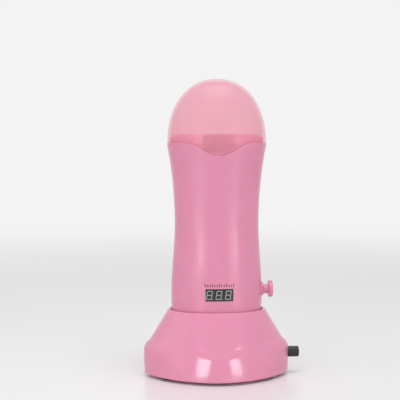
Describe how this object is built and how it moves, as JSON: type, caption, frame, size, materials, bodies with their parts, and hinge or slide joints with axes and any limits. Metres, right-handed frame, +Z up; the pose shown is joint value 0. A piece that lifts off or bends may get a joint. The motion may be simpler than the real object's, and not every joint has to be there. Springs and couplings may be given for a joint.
{
  "type": "roll on wax heater",
  "caption": "Oval handheld roll on wax heater with a see-through lift-off cap, a display and a temperature knob, standing in a flared docking base with a push button.",
  "frame": {"origin": "on the table under the handset's axis, midway between the four feet", "axes": "+Z up, -Y the front with the display, +X the side with the knob and the button"},
  "size_m": [0.1164, 0.076, 0.22],
  "materials": {
    "pink_handset_plastic": "gloss",
    "clear_pink_plastic": "frosted, see-through",
    "pink_base_plastic": "gloss",
    "chamber_aluminium": "satin",
    "element_film": "satin polyimide film",
    "bright_steel": "satin",
    "black_plastic": "satin",
    "smoked_window": "gloss",
    "circuit_board": "satin solder mask",
    "contact_brass": "bright",
    "wire_insulation": "satin",
    "foot_rubber": "matte",
    "white_plastic": "satin"
  },
  "bodies": {
    "base": {"base_shell": "pink_base_plastic", "base_plate": "pink_base_plastic", "rubber_feet": "foot_rubber", "base_screws": "bright_steel", "contact_board": "circuit_board", "contact_board_screws": "bright_steel", "contact_barrels": "contact_brass", "contact_springs": "bright_steel", "power_switch": "black_plastic", "switch_board": "circuit_board", "switch_board_screws": "bright_steel", "power_inlet": "black_plastic", "inlet_pins": "contact_brass", "base_wires": "wire_insulation"},
    "handset": {"front_shell": "pink_handset_plastic", "rear_shell": "pink_handset_plastic", "collar": "pink_handset_plastic", "bottom_cover": "pink_handset_plastic", "heating_chamber": "chamber_aluminium", "heating_element": "element_film", "heater_clips": "bright_steel", "thermal_fuse": "bright_steel", "temperature_sensor": "black_plastic", "control_board": "circuit_board", "board_components": "black_plastic", "display_module": "black_plastic", "display_window": "smoked_window", "potentiometer": "black_plastic", "contact_pads": "contact_brass", "shell_screws": "bright_steel", "bottom_screws": "bright_steel", "board_screws": "bright_steel", "handset_wires": "wire_insulation"},
    "cap": {"cap": "clear_pink_plastic"},
    "knob": {"temperature_knob": "pink_handset_plastic", "potentiometer_shaft": "bright_steel"},
    "button": {"power_button": "black_plastic", "switch_plunger": "white_plastic"},
    "contact_left": {"contact_plunger_left": "contact_brass"},
    "contact_right": {"contact_plunger_right": "contact_brass"}
  },
  "joints": [
    {"name": "handset_lift", "type": "slide", "parent": "base", "child": "handset", "axis": [0, 0, 1], "range_m": [0, 0.06]},
    {"name": "cap_lift", "type": "slide", "parent": "handset", "child": "cap", "axis": [0, 0, 1], "range_m": [0, 0.06]},
    {"name": "knob_turn", "type": "hinge", "parent": "handset", "child": "knob", "pos_m": [0.0384, 0, 0.064], "axis": [1, 0, 0], "range_deg": [-135, 135]},
    {"name": "power_press", "type": "slide", "parent": "base", "child": "button", "axis": [1, 0, 0], "range_m": [-0.0025, 0], "stiffness_N_per_m": 600, "springref_m": 0.0025},
    {"name": "contact_left_press", "type": "slide", "parent": "base", "child": "contact_left", "axis": [0, 0, 1], "range_m": [-0.0008, 0], "stiffness_N_per_m": 400, "springref_m": 0.001},
    {"name": "contact_right_press", "type": "slide", "parent": "base", "child": "contact_right", "axis": [0, 0, 1], "range_m": [-0.0008, 0], "stiffness_N_per_m": 400, "springref_m": 0.001}
  ]
}
